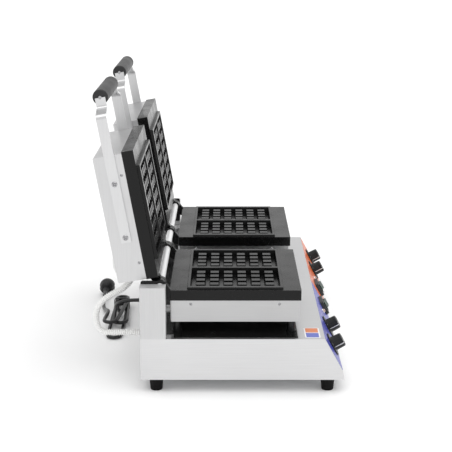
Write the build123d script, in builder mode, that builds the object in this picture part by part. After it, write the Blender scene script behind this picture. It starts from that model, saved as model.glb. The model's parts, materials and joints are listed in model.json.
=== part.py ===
"""Double electric waffle maker: one base, two stations side by side, both heads open.

Frame: X runs across the machine with +X on the operator's right, +Y points to the rear,
Z points up from the table. The origin is on the table, under the middle of the machine's
box. All sizes are millimetres. The heads are drawn open, leaning back past upright.
"""

import os
from math import cos, pi, radians, sin, tan

from build123d import *

os.makedirs("parts", exist_ok=True)

# Base: a sheet-metal box with a sloping front
BASE_WIDTH = 713
BASE_DEPTH = 381
BASE_TOP = 106
BASE_SHEET = 1.5
FOOT_HEIGHT = 25
FOOT_RADIUS = 14
FOOT_TIP_RADIUS = 11.5
PANEL_FOOT_Z = 42
RIDGE_SETBACK = 37
PANEL_FOOT_SETBACK = 2

# Hinge: one shaft right across the machine
HINGE_Y = 109.2
HINGE_Z = 200
SHAFT_RADIUS = 7
RUNNING_CLEARANCE = 0.05
OPEN_LEAN = 9.9

# Stations
STATION_X = 187
PLATE_WIDTH = 278
LOWER_PLATE_LENGTH = 246
UPPER_PLATE_LENGTH = 244
PLATE_THICKNESS = 20
UPPER_PLATE_THICKNESS = 21.9
PLATE_TOP = 191
LOWER_RIM = 3.2
UPPER_RIM = 5.8
FACE_BEHIND_AXIS = 0.4
SKIRT_HEIGHT = 42
SHEET = 1.2

# Waffle cavities: two per plate, six by four studs in each
FRAME_WIDTH = 262
FRAME_LENGTH = 181
CAVITY_WIDTH = 117
CAVITY_LENGTH = 170
CAVITY_SPACING = 125
CAVITY_DEPTH = 14
STUD_COLUMNS = 6
STUD_ROWS = 4
STUD_PITCH_Y = 26.4
STUD_PITCH_X = 25
STUD_BASE = (17, 19.4)
STUD_DROP = 2
DRAFT = 8

# Upper head
COVER_DEPTH = 54
ARM_WIDTH = 19
ARM_THICKNESS = 4
GRIP_RADIUS = 14.5
GRIP_LENGTH = 195
GRIP_ABOVE_AXIS = 359
ARM_DEPTH = 45

# Control panel
KNOB_X = (292, 192)
ROCKER_X = 61
LAMP_X = 112
LABEL_THICKNESS = 0.4

# Conduits and mains cord
CONDUIT_RADIUS = 6.2
CORD_RADIUS = 4

base_rear = HINGE_Y + 37
base_front = base_rear - BASE_DEPTH
ridge_y = base_front + RIDGE_SETBACK
panel_foot_y = base_front + PANEL_FOOT_SETBACK
half_base = BASE_WIDTH / 2
half_plate = PLATE_WIDTH / 2
frame_middle = 140.1
lower_plate_rear = 17.6
upper_plate_rear = 16.4
lower_plate_bottom = PLATE_TOP - PLATE_THICKNESS
skirt_bottom = lower_plate_bottom - SKIRT_HEIGHT
pan_top = BASE_TOP + SHEET
upper_back = -FACE_BEHIND_AXIS - UPPER_PLATE_THICKNESS
cover_back = upper_back - COVER_DEPTH
arm_x = half_plate - 1 + ARM_THICKNESS / 2
grip_arm_x = GRIP_LENGTH / 2 + ARM_THICKNESS / 2

slope = (panel_foot_y - ridge_y, PANEL_FOOT_Z - BASE_TOP)
panel_length = Vector(0, *slope).length
panel_normal = Vector(0, slope[1], -slope[0]).normalized()
panel_centre = Vector(0, (ridge_y + panel_foot_y) / 2, (BASE_TOP + PANEL_FOOT_Z) / 2)
panel = Plane(origin=panel_centre, x_dir=(1, 0, 0), z_dir=panel_normal)
knob_row = -3.5
rocker_row = -5
lamp_row = 2

lean = radians(OPEN_LEAN)


def head_plane(x):
    """Plane of an open head: origin on the hinge axis, Y up along the plate, Z out of its face."""
    return Plane(origin=(x, HINGE_Y, HINGE_Z), x_dir=(1, 0, 0), z_dir=(0, -cos(lean), sin(lean)))


def write(piece, node):
    """Label a finished piece and write its STEP file."""
    piece.part.label = node
    export_step(piece.part, f"parts/{node}.step")


def stud_bases():
    """Feet of the studs in a plate's two cavities, about the plate's own middle."""
    with BuildSketch(mode=Mode.PRIVATE) as grid:
        with GridLocations(CAVITY_SPACING, 0, 2, 1):
            with GridLocations(STUD_PITCH_X, STUD_PITCH_Y, STUD_ROWS, STUD_COLUMNS):
                Rectangle(*STUD_BASE)
    return grid.sketch


def cable_radii(points, share=0.45):
    """Fillet radius at each corner of a cord's route, as large as its two runs allow."""
    radii = []
    for before, corner, after in zip(points, points[1:], points[2:]):
        arriving, leaving = Vector(corner) - Vector(before), Vector(after) - Vector(corner)
        half_turn = radians(arriving.get_angle(leaving)) / 2
        radii.append(share * min(arriving.length, leaving.length) / tan(half_turn))
    return radii


def cord_tube(points, node):
    """A round cord along straight runs joined by tangent arcs."""
    radii = cable_radii(points)
    with BuildPart() as tube:
        with BuildLine() as route:
            FilletPolyline(*points, radius=radii)
        start = Plane(origin=route.line @ 0, z_dir=route.line % 0)
        with BuildSketch(start):
            Circle(CORD_RADIUS)
        sweep(path=route.line)
    length = route.wire().length
    section = pi * CORD_RADIUS**2
    print(node, "radii", [round(r) for r in radii], "length", round(length))
    print(node, "volume over section times length", round(tube.part.volume / (section * length), 4))
    write(tube, node)


# ---- base ---------------------------------------------------------------------------

conduit_offset = -79
conduit_exit_z = 86.5
conduit_places = [(-x - conduit_offset, conduit_exit_z) for x in (-STATION_X, STATION_X)]
cord_exit_z = 62
cord_gland_hole = 8
conduit_gland_hole = 8
gland_height = 5
spindle_hole = 5
lamp_hole = 3.6
switch_body = (34, 24)
switch_opening = (34.4, 24.4)
rear_plane = Plane(origin=(0, base_rear, 0), x_dir=(-1, 0, 0), z_dir=(0, 1, 0))

with BuildPart() as casing:
    with BuildSketch(Plane.YZ):
        with BuildLine():
            Polyline(
                (base_rear, FOOT_HEIGHT),
                (base_rear, BASE_TOP),
                (ridge_y, BASE_TOP),
                (panel_foot_y, PANEL_FOOT_Z),
                (base_front, FOOT_HEIGHT),
                close=True,
            )
        make_face()
    extrude(amount=half_base, both=True)
    offset(amount=-BASE_SHEET, openings=casing.faces().sort_by(Axis.Z)[0])
    with BuildSketch(panel):
        for x in KNOB_X:
            with Locations((-x, knob_row), (x, knob_row)):
                Circle(spindle_hole)
        with Locations((-ROCKER_X, rocker_row), (ROCKER_X, rocker_row)):
            Rectangle(*switch_opening)
        with Locations((-LAMP_X, lamp_row), (LAMP_X, lamp_row)):
            Circle(lamp_hole)
    extrude(amount=-2 * BASE_SHEET, mode=Mode.SUBTRACT)
    with BuildSketch(rear_plane):
        with Locations((0, cord_exit_z)):
            Circle(cord_gland_hole)
        with Locations(*conduit_places):
            Circle(conduit_gland_hole)
    extrude(amount=-2 * BASE_SHEET, mode=Mode.SUBTRACT)
write(casing, "base_casing")

pan_front = HINGE_Y - 257
pan_notch = HINGE_Y - 25
pan_rear = base_rear - 2
column_width = 25
with BuildPart() as top_pan:
    with BuildSketch(Plane.XY.offset(BASE_TOP)):
        with Locations((0, (pan_front + pan_notch) / 2)):
            Rectangle(BASE_WIDTH - 17, pan_notch - pan_front)
        with Locations((0, (pan_front + pan_rear) / 2)):
            Rectangle(BASE_WIDTH - 2 * column_width - 3, pan_rear - pan_front)
    extrude(amount=SHEET)
write(top_pan, "top_pan")

foot_places = [
    (side * (half_base - 18), y) for side in (-1, 1) for y in (HINGE_Y + 9, HINGE_Y - 314.6)
]
foot_screw_radius = 2.5
with BuildPart() as bottom_cover:
    with BuildSketch(Plane.XY.offset(FOOT_HEIGHT)):
        with Locations((0, (base_rear + base_front) / 2)):
            Rectangle(BASE_WIDTH - 2 * BASE_SHEET - 0.8, BASE_DEPTH - 2 * BASE_SHEET - 2.4)
        with Locations(*foot_places):
            Circle(foot_screw_radius, mode=Mode.SUBTRACT)
        for x in range(-240, 241, 60):
            with Locations((x, HINGE_Y - 120)):
                SlotOverall(60, 5, rotation=90, mode=Mode.SUBTRACT)
    extrude(amount=SHEET)
write(bottom_cover, "bottom_cover")

with BuildPart() as rubber_feet:
    for place in foot_places:
        with BuildSketch(Plane.XY.offset(FOOT_HEIGHT)):
            with Locations(place):
                Circle(FOOT_RADIUS)
        with BuildSketch(Plane.XY):
            with Locations(place):
                Circle(FOOT_TIP_RADIUS)
        loft()
    with BuildSketch(Plane.XY):
        with Locations(*foot_places):
            Circle(6)
    extrude(amount=8, mode=Mode.SUBTRACT)
    with BuildSketch(Plane.XY):
        with Locations(*foot_places):
            Circle(foot_screw_radius)
    extrude(amount=FOOT_HEIGHT, mode=Mode.SUBTRACT)
write(rubber_feet, "rubber_feet")

with BuildPart() as foot_screws:
    with BuildSketch(Plane.XY.offset(8)):
        with Locations(*foot_places):
            Circle(foot_screw_radius)
    extrude(amount=FOOT_HEIGHT - 4)
    with BuildSketch(Plane.XY.offset(4.5)):
        with Locations(*foot_places):
            Circle(5)
    extrude(amount=3.5)
write(foot_screws, "foot_screws")

# ---- columns, shaft and its brackets --------------------------------------------------

column_front = HINGE_Y - 11
column_top = PLATE_TOP + 14
column_middle_y = (column_front + base_rear) / 2
for side, sign in (("left", -1), ("right", 1)):
    with BuildPart() as column:
        with BuildSketch(Plane.XY.offset(BASE_TOP)):
            with Locations((sign * (half_base - column_width / 2), column_middle_y)):
                Rectangle(column_width, base_rear - column_front)
        extrude(amount=column_top - BASE_TOP)
        fillet(column.edges().filter_by(Axis.Z), 1.5)
        offset(amount=-SHEET, openings=column.faces().sort_by(Axis.Z)[0])
    write(column, f"{side}_column")

bracket_thickness = 3.5
bracket_x = half_base - column_width - bracket_thickness
bracket_top = PLATE_TOP + 20
with BuildPart() as bearing_brackets:
    for x in (-bracket_x - bracket_thickness, bracket_x):
        with BuildSketch(Plane.YZ.offset(x)):
            with Locations((column_middle_y, bracket_top - 28)):
                RectangleRounded(base_rear - column_front - 2, 56, 4)
            with Locations((HINGE_Y, HINGE_Z)):
                Circle(SHAFT_RADIUS, mode=Mode.SUBTRACT)
        extrude(amount=bracket_thickness)
write(bearing_brackets, "bearing_brackets")

shaft_half = bracket_x + bracket_thickness - 0.2
with BuildPart() as hinge_shaft:
    with BuildSketch(Plane.YZ):
        with Locations((HINGE_Y, HINGE_Z)):
            Circle(SHAFT_RADIUS)
    extrude(amount=shaft_half, both=True)
    chamfer(hinge_shaft.edges().filter_by(GeomType.CIRCLE), 0.8)
write(hinge_shaft, "hinge_shaft")

# ---- control panel --------------------------------------------------------------------

label_gap = 5
label_margin = 4
label_width = half_base - label_gap / 2 - label_margin
for side, sign in (("left", -1), ("right", 1)):
    with BuildPart() as label:
        with BuildSketch(panel):
            with Locations((sign * (label_gap / 2 + label_width / 2), 0)):
                Rectangle(label_width, panel_length - 2)
            for x in KNOB_X:
                with Locations((sign * x, knob_row)):
                    Circle(spindle_hole, mode=Mode.SUBTRACT)
            with Locations((sign * ROCKER_X, rocker_row)):
                Rectangle(*switch_opening, mode=Mode.SUBTRACT)
            with Locations((sign * LAMP_X, lamp_row)):
                Circle(lamp_hole, mode=Mode.SUBTRACT)
        extrude(amount=LABEL_THICKNESS)
    write(label, f"{side}_control_label")

with BuildPart() as deck_badge:
    with BuildSketch(Plane.XY.offset(BASE_TOP)):
        with Locations((33 - half_base, ridge_y + 22.3)):
            RectangleRounded(53, 29, 4)
    extrude(amount=0.5)
write(deck_badge, "deck_badge")

knob_skirt_radius = 23
knob_grip_radius = 14
knob_grip_height = 20
knob_lift = 0.8
spindle_radius = 3
spindle_depth = 16
for side, sign in (("left", -1), ("right", 1)):
    for use, x in zip(("temperature", "timer"), KNOB_X):
        with BuildPart() as knob:
            with BuildSketch(panel.offset(knob_lift)):
                with Locations((sign * x, knob_row)):
                    Circle(knob_skirt_radius)
            extrude(amount=2.6)
            with BuildSketch(panel.offset(knob_lift + 2.6)):
                with Locations((sign * x, knob_row)):
                    Circle(knob_grip_radius)
            extrude(amount=knob_grip_height, taper=2)
            with BuildSketch(panel.offset(knob_lift)):
                with Locations((sign * x, knob_row)):
                    Circle(spindle_radius)
            extrude(amount=-knob_lift - spindle_depth)
        write(knob, f"{side}_{use}_knob")

control_size = (40, 36)
control_depth = 30
for node, x in zip(("thermostats", "timers"), KNOB_X):
    with BuildPart() as controls:
        with BuildSketch(panel.offset(-BASE_SHEET)):
            with Locations((-x, knob_row), (x, knob_row)):
                Rectangle(*control_size)
        extrude(amount=-control_depth)
        with BuildSketch(panel.offset(-BASE_SHEET)):
            with Locations((-x, knob_row), (x, knob_row)):
                Circle(spindle_radius + RUNNING_CLEARANCE)
        extrude(amount=-spindle_depth, mode=Mode.SUBTRACT)
    write(controls, node)

bezel_size = (44, 32)
bezel_height = 7
well_size = (29.4, 18.8)
pivot_height = 4
pivot_radius = 1.5
rocker_width = 18
trunnion = 1.6
rocker_tilt = radians(8)
for side, sign in (("left", -1), ("right", 1)):
    centre = (sign * ROCKER_X, rocker_row)
    pivot_origin = panel.from_local_coords(Vector(centre[0], centre[1], pivot_height))
    off_direction = panel.x_dir * cos(rocker_tilt) + panel.z_dir * sin(rocker_tilt)
    pivot = Plane(origin=pivot_origin, x_dir=off_direction, z_dir=-panel.y_dir)
    with BuildPart() as housing:
        with BuildSketch(panel.offset(LABEL_THICKNESS)):
            with Locations(centre):
                RectangleRounded(*bezel_size, 4)
        extrude(amount=bezel_height, taper=8)
        with BuildSketch(panel.offset(LABEL_THICKNESS)):
            with Locations(centre):
                Rectangle(*switch_body)
        extrude(amount=-24)
        with BuildSketch(panel.offset(bezel_height + 1)):
            with Locations(centre):
                Rectangle(*well_size)
        extrude(amount=-bezel_height - 8, mode=Mode.SUBTRACT)
        with BuildSketch(pivot):
            Circle(pivot_radius + RUNNING_CLEARANCE)
        extrude(amount=well_size[1] / 2 + trunnion, both=True, mode=Mode.SUBTRACT)
    write(housing, f"{side}_switch_housing")

    with BuildPart() as rocker:
        with BuildSketch(pivot):
            with BuildLine():
                Polyline((-12, -3), (12, -3), (12.2, 7), (0, 4.6), (-12.2, 7), close=True)
            make_face()
        extrude(amount=rocker_width / 2, both=True)
        with BuildSketch(pivot):
            Circle(pivot_radius)
        extrude(amount=well_size[1] / 2 + trunnion - 0.2, both=True)
    write(rocker, f"{side}_rocker")

with BuildPart() as indicator_lamps:
    with BuildSketch(panel.offset(LABEL_THICKNESS)):
        with Locations((-LAMP_X, lamp_row), (LAMP_X, lamp_row)):
            Circle(5.5)
    extrude(amount=1.5)
    with BuildSketch(panel.offset(LABEL_THICKNESS)):
        with Locations((-LAMP_X, lamp_row), (LAMP_X, lamp_row)):
            Circle(lamp_hole)
    extrude(amount=-14)
    with BuildSketch(panel.offset(LABEL_THICKNESS + 1.5)):
        with Locations((-LAMP_X, lamp_row), (LAMP_X, lamp_row)):
            Circle(4.2)
    extrude(amount=3.6, taper=12)
write(indicator_lamps, "indicator_lamps")

# ---- lower stations -------------------------------------------------------------------

lower_ear = (124.5, 134.5)
upper_ear = (109, 123)
post_radius = 9.5
post_x = half_plate - 15
post_y = (HINGE_Y - 30, HINGE_Y - 246)
skirt_screw_y = (HINGE_Y - 57, HINGE_Y - 223)
small_screw_radius = 1.5
skirt_half = half_plate - 1.5
skirt_rear = HINGE_Y - 18.3
skirt_front = HINGE_Y - 261
skirt_middle = (skirt_rear + skirt_front) / 2
sleeve_x = 115
sleeve_z = PLATE_TOP - 44
sleeve_radius = 7

for side, sign in (("left", -1), ("right", 1)):
    centre_x = sign * STATION_X
    plate_middle = HINGE_Y - lower_plate_rear - LOWER_PLATE_LENGTH / 2
    cavity_middle = HINGE_Y - frame_middle
    rim_top = PLATE_TOP + LOWER_RIM
    with BuildPart() as lower_plate:
        with BuildSketch(Plane.XY.offset(lower_plate_bottom)):
            with Locations((centre_x, plate_middle)):
                RectangleRounded(PLATE_WIDTH, LOWER_PLATE_LENGTH, 1.5)
        extrude(amount=PLATE_THICKNESS)
        with BuildSketch(Plane.XY.offset(PLATE_TOP)):
            with Locations((centre_x, cavity_middle)):
                RectangleRounded(FRAME_WIDTH, FRAME_LENGTH, 2)
        extrude(amount=LOWER_RIM, taper=15)
        with BuildSketch(Plane.XY.offset(rim_top)):
            with Locations((centre_x, cavity_middle)):
                with GridLocations(CAVITY_SPACING, 0, 2, 1):
                    Rectangle(CAVITY_WIDTH, CAVITY_LENGTH)
        extrude(amount=-CAVITY_DEPTH, taper=DRAFT, mode=Mode.SUBTRACT)
        with BuildSketch(Plane.XY.offset(rim_top - CAVITY_DEPTH)):
            with Locations((centre_x, cavity_middle)):
                add(stud_bases())
        extrude(amount=CAVITY_DEPTH - STUD_DROP, taper=DRAFT)
        for start, stop in (lower_ear, (-lower_ear[1], -lower_ear[0])):
            with BuildSketch(Plane.YZ.offset(centre_x + start)):
                with BuildLine():
                    Polyline(
                        (HINGE_Y - lower_plate_rear - 3, lower_plate_bottom + 1),
                        (HINGE_Y - lower_plate_rear - 3, PLATE_TOP - 1),
                        (HINGE_Y - lower_plate_rear + 1, PLATE_TOP + 3),
                        (HINGE_Y - 6, HINGE_Z + 8),
                        (HINGE_Y + 6, HINGE_Z - 8),
                        (HINGE_Y - 8, lower_plate_bottom + 4),
                        close=True,
                    )
                make_face()
                with Locations((HINGE_Y, HINGE_Z)):
                    Circle(10.5)
                    Circle(SHAFT_RADIUS, mode=Mode.SUBTRACT)
            extrude(amount=stop - start)
    write(lower_plate, f"{side}_lower_plate")

    with BuildPart() as skirt:
        with BuildSketch(Plane.XY.offset(skirt_bottom)):
            with Locations((centre_x, skirt_middle)):
                Rectangle(2 * skirt_half, skirt_rear - skirt_front)
        extrude(amount=SKIRT_HEIGHT)
        fillet(skirt.edges().filter_by(Axis.Z), 2)
        offset(amount=-SHEET, openings=skirt.faces().sort_by(Axis.Z)[-1])
        with BuildSketch(Plane.YZ.offset(centre_x)):
            with Locations(*[(y, lower_plate_bottom - 7) for y in skirt_screw_y]):
                Circle(small_screw_radius)
        extrude(amount=half_plate, both=True, mode=Mode.SUBTRACT)
        with BuildSketch(rear_plane):
            with Locations((-centre_x - sign * sleeve_x, sleeve_z)):
                Circle(sleeve_radius - 1.4)
        extrude(amount=skirt_rear - base_rear - 3, mode=Mode.SUBTRACT)
    write(skirt, f"{side}_lower_skirt")

skirt_screw_spots = [(y, lower_plate_bottom - 7) for y in skirt_screw_y]
with BuildPart() as skirt_screws:
    for centre_x in (-STATION_X, STATION_X):
        for outward in (-1, 1):
            skirt_side = Plane.YZ.offset(centre_x + outward * skirt_half)
            with BuildSketch(skirt_side):
                with Locations(*skirt_screw_spots):
                    Circle(2.6)
            extrude(amount=outward * 1.2)
            with BuildSketch(skirt_side):
                with Locations(*skirt_screw_spots):
                    Circle(small_screw_radius)
            extrude(amount=-outward * 5)
write(skirt_screws, "skirt_screws")

element_radius = 4
element_leg = [(-95, -95), (-95, 85), (-40, 85), (-40, -70)]
element_route = element_leg + [(-x, y) for x, y in reversed(element_leg)]
element_bend = 24
with BuildPart() as lower_elements:
    for sign in (-1, 1):
        height = lower_plate_bottom - element_radius - 0.3
        points = [(sign * STATION_X + x, HINGE_Y - frame_middle + y, height) for x, y in element_route]
        with BuildLine() as element_path:
            FilletPolyline(*points, radius=element_bend)
        with BuildSketch(Plane(origin=element_path.line @ 0, z_dir=element_path.line % 0)):
            Circle(element_radius)
        sweep(path=element_path.line)
write(lower_elements, "lower_elements")

with BuildPart() as support_posts:
    with BuildSketch(Plane.XY.offset(pan_top)):
        for centre_x in (-STATION_X, STATION_X):
            for y in post_y:
                with Locations((centre_x - post_x, y), (centre_x + post_x, y)):
                    Circle(post_radius)
    extrude(amount=skirt_bottom - pan_top)
write(support_posts, "support_posts")

sleeve_end_y = HINGE_Y + 2
sleeve_bend = 14
with BuildPart() as wire_sleeves:
    for sign in (-1, 1):
        x = sign * (STATION_X + sleeve_x)
        with BuildLine() as sleeve_path:
            FilletPolyline(
                (x, skirt_rear, sleeve_z),
                (x, sleeve_end_y, sleeve_z),
                (x, sleeve_end_y, pan_top),
                radius=sleeve_bend,
            )
        with BuildSketch(Plane(origin=(x, skirt_rear, sleeve_z), z_dir=(0, 1, 0))):
            Circle(sleeve_radius)
            Circle(sleeve_radius - 1.4, mode=Mode.SUBTRACT)
        sweep(path=sleeve_path.line)
write(wire_sleeves, "wire_sleeves")

# ---- upper heads ----------------------------------------------------------------------

cover_start = upper_plate_rear + 1
cover_end = upper_plate_rear + UPPER_PLATE_LENGTH - 3
handle_screw_y = (103, 205)
cover_screw_y = (50.5, 218.4)
cover_screw_depth = upper_back - 7.5
arm_start = 93
jog_start = 331
jog_end = 339.5
jog_radius = 7
rod_radius = 3
handle_screw_radius = 2.5
grommet_depth = -52
grommet_hole = CONDUIT_RADIUS + 0.3
half_cover = half_plate - 1

for side, sign in (("left", -1), ("right", 1)):
    head = head_plane(sign * STATION_X)
    sideways = Plane(origin=head.origin, x_dir=head.y_dir, z_dir=head.x_dir)
    with BuildPart() as upper_plate:
        with BuildSketch(head.offset(-FACE_BEHIND_AXIS)):
            with Locations((0, upper_plate_rear + UPPER_PLATE_LENGTH / 2)):
                RectangleRounded(PLATE_WIDTH, UPPER_PLATE_LENGTH, 1.5)
        extrude(amount=upper_back + FACE_BEHIND_AXIS)
        with BuildSketch(head.offset(-FACE_BEHIND_AXIS)):
            with Locations((0, frame_middle)):
                RectangleRounded(FRAME_WIDTH, FRAME_LENGTH, 2)
        extrude(amount=UPPER_RIM, taper=8)
        with BuildSketch(head.offset(UPPER_RIM - FACE_BEHIND_AXIS)):
            with Locations((0, frame_middle)):
                with GridLocations(CAVITY_SPACING, 0, 2, 1):
                    Rectangle(CAVITY_WIDTH, CAVITY_LENGTH)
        extrude(amount=-CAVITY_DEPTH, taper=DRAFT, mode=Mode.SUBTRACT)
        with BuildSketch(head.offset(UPPER_RIM - FACE_BEHIND_AXIS - CAVITY_DEPTH)):
            with Locations((0, frame_middle)):
                add(stud_bases())
        extrude(amount=CAVITY_DEPTH - STUD_DROP, taper=DRAFT)
        for start, stop in (upper_ear, (-upper_ear[1], -upper_ear[0])):
            with BuildSketch(sideways.offset(start)):
                with BuildLine():
                    Polyline(
                        (-2, 8),
                        (upper_plate_rear + 3, -FACE_BEHIND_AXIS - 1),
                        (upper_plate_rear + 3, upper_back + 1),
                        (-5, -7),
                        close=True,
                    )
                make_face()
                Circle(10.5)
                Circle(SHAFT_RADIUS + RUNNING_CLEARANCE, mode=Mode.SUBTRACT)
            extrude(amount=stop - start)
    write(upper_plate, f"{side}_upper_plate")

    with BuildPart() as cover:
        with BuildSketch(head.offset(upper_back)):
            with Locations((0, (cover_start + cover_end) / 2)):
                Rectangle(2 * half_cover, cover_end - cover_start)
        extrude(amount=-COVER_DEPTH)
        fillet(cover.faces().sort_by(Axis(head.origin, head.z_dir))[0].edges(), 3)
        offset(amount=-SHEET, openings=cover.faces().sort_by(Axis(head.origin, head.z_dir))[-1])
        with BuildSketch(sideways):
            with Locations(*[(y, -ARM_DEPTH) for y in handle_screw_y]):
                Circle(handle_screw_radius)
            with Locations(*[(y, cover_screw_depth) for y in cover_screw_y]):
                Circle(small_screw_radius)
        extrude(amount=half_plate, both=True, mode=Mode.SUBTRACT)
        with BuildSketch(Plane(origin=head.origin, x_dir=head.x_dir, z_dir=-head.y_dir)):
            with Locations((conduit_offset, grommet_depth)):
                Circle(grommet_hole + 1.5)
        extrude(amount=-cover_start - 4, mode=Mode.SUBTRACT)
    write(cover, f"{side}_upper_cover")

    with BuildPart() as arms:
        with BuildSketch(head.offset(-ARM_DEPTH - ARM_WIDTH / 2)):
            with BuildLine():
                FilletPolyline(
                    (arm_x, arm_start),
                    (arm_x, jog_start),
                    (grip_arm_x, jog_end),
                    (grip_arm_x, GRIP_ABOVE_AXIS),
                    radius=jog_radius,
                )
            trace(line_width=ARM_THICKNESS)
            mirror(about=Plane.YZ)
        extrude(amount=ARM_WIDTH)
        with BuildSketch(sideways):
            with Locations(*[(y, -ARM_DEPTH) for y in handle_screw_y]):
                Circle(handle_screw_radius)
            with Locations((GRIP_ABOVE_AXIS, -ARM_DEPTH)):
                Circle(rod_radius)
        extrude(amount=half_plate + 5, both=True, mode=Mode.SUBTRACT)
    write(arms, f"{side}_handle_arms")

    with BuildPart() as grip:
        with BuildSketch(sideways):
            with Locations((GRIP_ABOVE_AXIS, -ARM_DEPTH)):
                Circle(GRIP_RADIUS)
                Circle(rod_radius, mode=Mode.SUBTRACT)
        extrude(amount=GRIP_LENGTH / 2, both=True)
    write(grip, f"{side}_handle_grip")

    with BuildPart() as rod:
        with BuildSketch(sideways):
            with Locations((GRIP_ABOVE_AXIS, -ARM_DEPTH)):
                Circle(rod_radius)
        extrude(amount=GRIP_LENGTH / 2 + ARM_THICKNESS / 2, both=True)
    write(rod, f"{side}_handle_rod")

    with BuildPart() as handle_screws:
        for end in (-1, 1):
            with BuildSketch(sideways.offset(end * (arm_x + ARM_THICKNESS / 2))):
                with Locations(*[(y, -ARM_DEPTH) for y in handle_screw_y]):
                    Circle(5.3)
            extrude(amount=end * 2.6)
            with BuildSketch(sideways.offset(end * (arm_x + ARM_THICKNESS / 2))):
                with Locations(*[(y, -ARM_DEPTH) for y in handle_screw_y]):
                    Circle(handle_screw_radius)
            extrude(amount=-end * 14)
    write(handle_screws, f"{side}_handle_screws")

    with BuildPart() as cover_screws:
        for end in (-1, 1):
            with BuildSketch(sideways.offset(end * half_cover)):
                with Locations(*[(y, cover_screw_depth) for y in cover_screw_y]):
                    Circle(2.6)
            extrude(amount=end * 1.2)
            with BuildSketch(sideways.offset(end * half_cover)):
                with Locations(*[(y, cover_screw_depth) for y in cover_screw_y]):
                    Circle(small_screw_radius)
            extrude(amount=-end * 6)
    write(cover_screws, f"{side}_cover_screws")

    with BuildPart() as upper_element:
        layer = head.offset(upper_back - element_radius - 0.3)
        points = [layer.from_local_coords(Vector(x, frame_middle + y, 0)) for x, y in element_route]
        with BuildLine() as element_path:
            FilletPolyline(*points, radius=element_bend)
        with BuildSketch(Plane(origin=element_path.line @ 0, z_dir=element_path.line % 0)):
            Circle(element_radius)
        sweep(path=element_path.line)
    write(upper_element, f"{side}_upper_element")

    lower_end = Plane(origin=head.origin, x_dir=head.x_dir, z_dir=-head.y_dir)
    with BuildPart() as grommet:
        with BuildSketch(lower_end.offset(-cover_start)):
            with Locations((conduit_offset, grommet_depth)):
                Circle(10)
                Circle(grommet_hole, mode=Mode.SUBTRACT)
        extrude(amount=3.4)
        with BuildSketch(lower_end.offset(-cover_start)):
            with Locations((conduit_offset, grommet_depth)):
                Circle(grommet_hole + 1.5)
                Circle(grommet_hole, mode=Mode.SUBTRACT)
        extrude(amount=-4)
    write(grommet, f"{side}_conduit_grommet")

    conduit_end = head.from_local_coords(Vector(conduit_offset, 30, grommet_depth))
    conduit_bend = head.from_local_coords(Vector(conduit_offset, -5, grommet_depth))
    x = sign * STATION_X + conduit_offset
    gland_face = base_rear + gland_height
    conduit_points = [
        (x, gland_face, conduit_exit_z),
        (x, HINGE_Y + 128, conduit_exit_z),
        (x, HINGE_Y + 129, conduit_exit_z + 62),
        conduit_bend,
        conduit_end,
    ]
    with BuildPart() as conduit:
        with BuildLine() as conduit_path:
            FilletPolyline(*conduit_points, radius=[30, 42, 28])
        with BuildSketch(Plane(origin=conduit_path.line @ 0, z_dir=conduit_path.line % 0)):
            Circle(CONDUIT_RADIUS)
        sweep(path=conduit_path.line)
    print(side, "conduit length", round(conduit_path.wire().length))
    print(side, "head: hinge at", head.origin, "grommet at", conduit_end)
    write(conduit, f"{side}_conduit")

# ---- electrics in the base --------------------------------------------------------------

with BuildPart() as conduit_glands:
    with BuildSketch(rear_plane):
        with Locations(*conduit_places):
            RegularPolygon(10.5, 6)
    extrude(amount=gland_height)
    with BuildSketch(rear_plane):
        with Locations(*conduit_places):
            Circle(conduit_gland_hole)
    extrude(amount=-8)
write(conduit_glands, "conduit_glands")

relief_length = 30
with BuildPart() as cable_gland:
    with BuildSketch(rear_plane):
        with Locations((0, cord_exit_z)):
            Circle(12)
    extrude(amount=4)
    with BuildSketch(rear_plane.offset(4)):
        with Locations((0, cord_exit_z)):
            Circle(8.5)
    extrude(amount=relief_length - 4, taper=7)
    with BuildSketch(rear_plane):
        with Locations((0, cord_exit_z)):
            Circle(cord_gland_hole)
    extrude(amount=-10)
write(cable_gland, "cable_gland")

terminal_floor = FOOT_HEIGHT + SHEET
with BuildPart() as terminal_block:
    with BuildSketch(Plane.XY.offset(terminal_floor)):
        with Locations((60, base_rear - 40)):
            Rectangle(66, 24)
    extrude(amount=18)
    with BuildSketch(Plane.XY.offset(terminal_floor + 18)):
        with Locations((60, base_rear - 40)):
            with GridLocations(11, 14, 5, 2):
                Circle(3)
    extrude(amount=-9, mode=Mode.SUBTRACT)
write(terminal_block, "terminal_block")

# ---- mains cord: lead, hank, lead to the plug ---------------------------------------------

relief_tip = base_rear + relief_length
lead_points = [
    (0, relief_tip, cord_exit_z),
    (0, HINGE_Y + 94, cord_exit_z),
    (14, HINGE_Y + 117, 49),
    (44, HINGE_Y + 123, 32),
    (76, HINGE_Y + 118, 20),
]
cord_tube(lead_points, "power_cord")

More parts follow.
